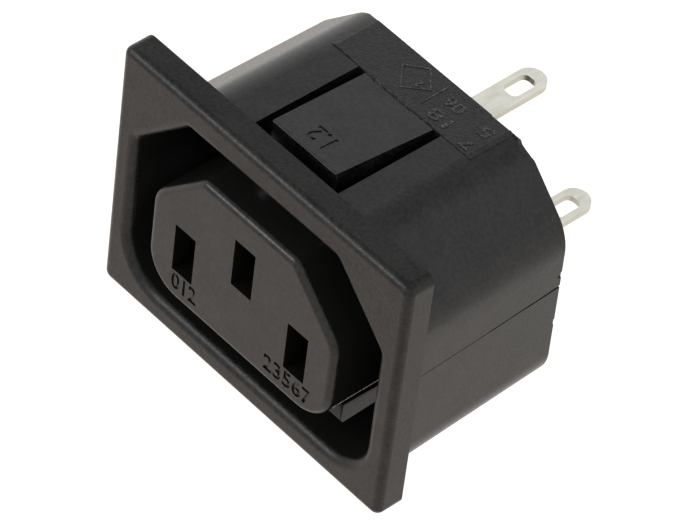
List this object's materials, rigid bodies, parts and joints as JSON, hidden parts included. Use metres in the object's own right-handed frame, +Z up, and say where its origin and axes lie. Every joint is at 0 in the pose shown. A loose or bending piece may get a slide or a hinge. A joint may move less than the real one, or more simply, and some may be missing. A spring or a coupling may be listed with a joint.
{
  "type": "panel power outlet socket",
  "caption": "Snap-in panel power outlet: black moulded housing with a recessed, chamfered core, slots for flat pins, and tin-plated solder tabs at the back.",
  "frame": {"origin": "centre of the flange's rear face, which seats on the front of the panel", "axes": "+X right seen from the front, +Y back through the panel, +Z up towards the earth slot and the two chamfered corners"},
  "size_m": [0.035, 0.0334, 0.0272],
  "materials": {
    "black_plastic": "fine matte moulded grain",
    "tinned_brass": "satin tin plating"
  },
  "bodies": {
    "root": {"housing": "black_plastic", "rear_cover": "black_plastic", "line_contact_left": "tinned_brass", "earth_contact": "tinned_brass", "line_contact_right": "tinned_brass"}
  },
  "joints": []
}
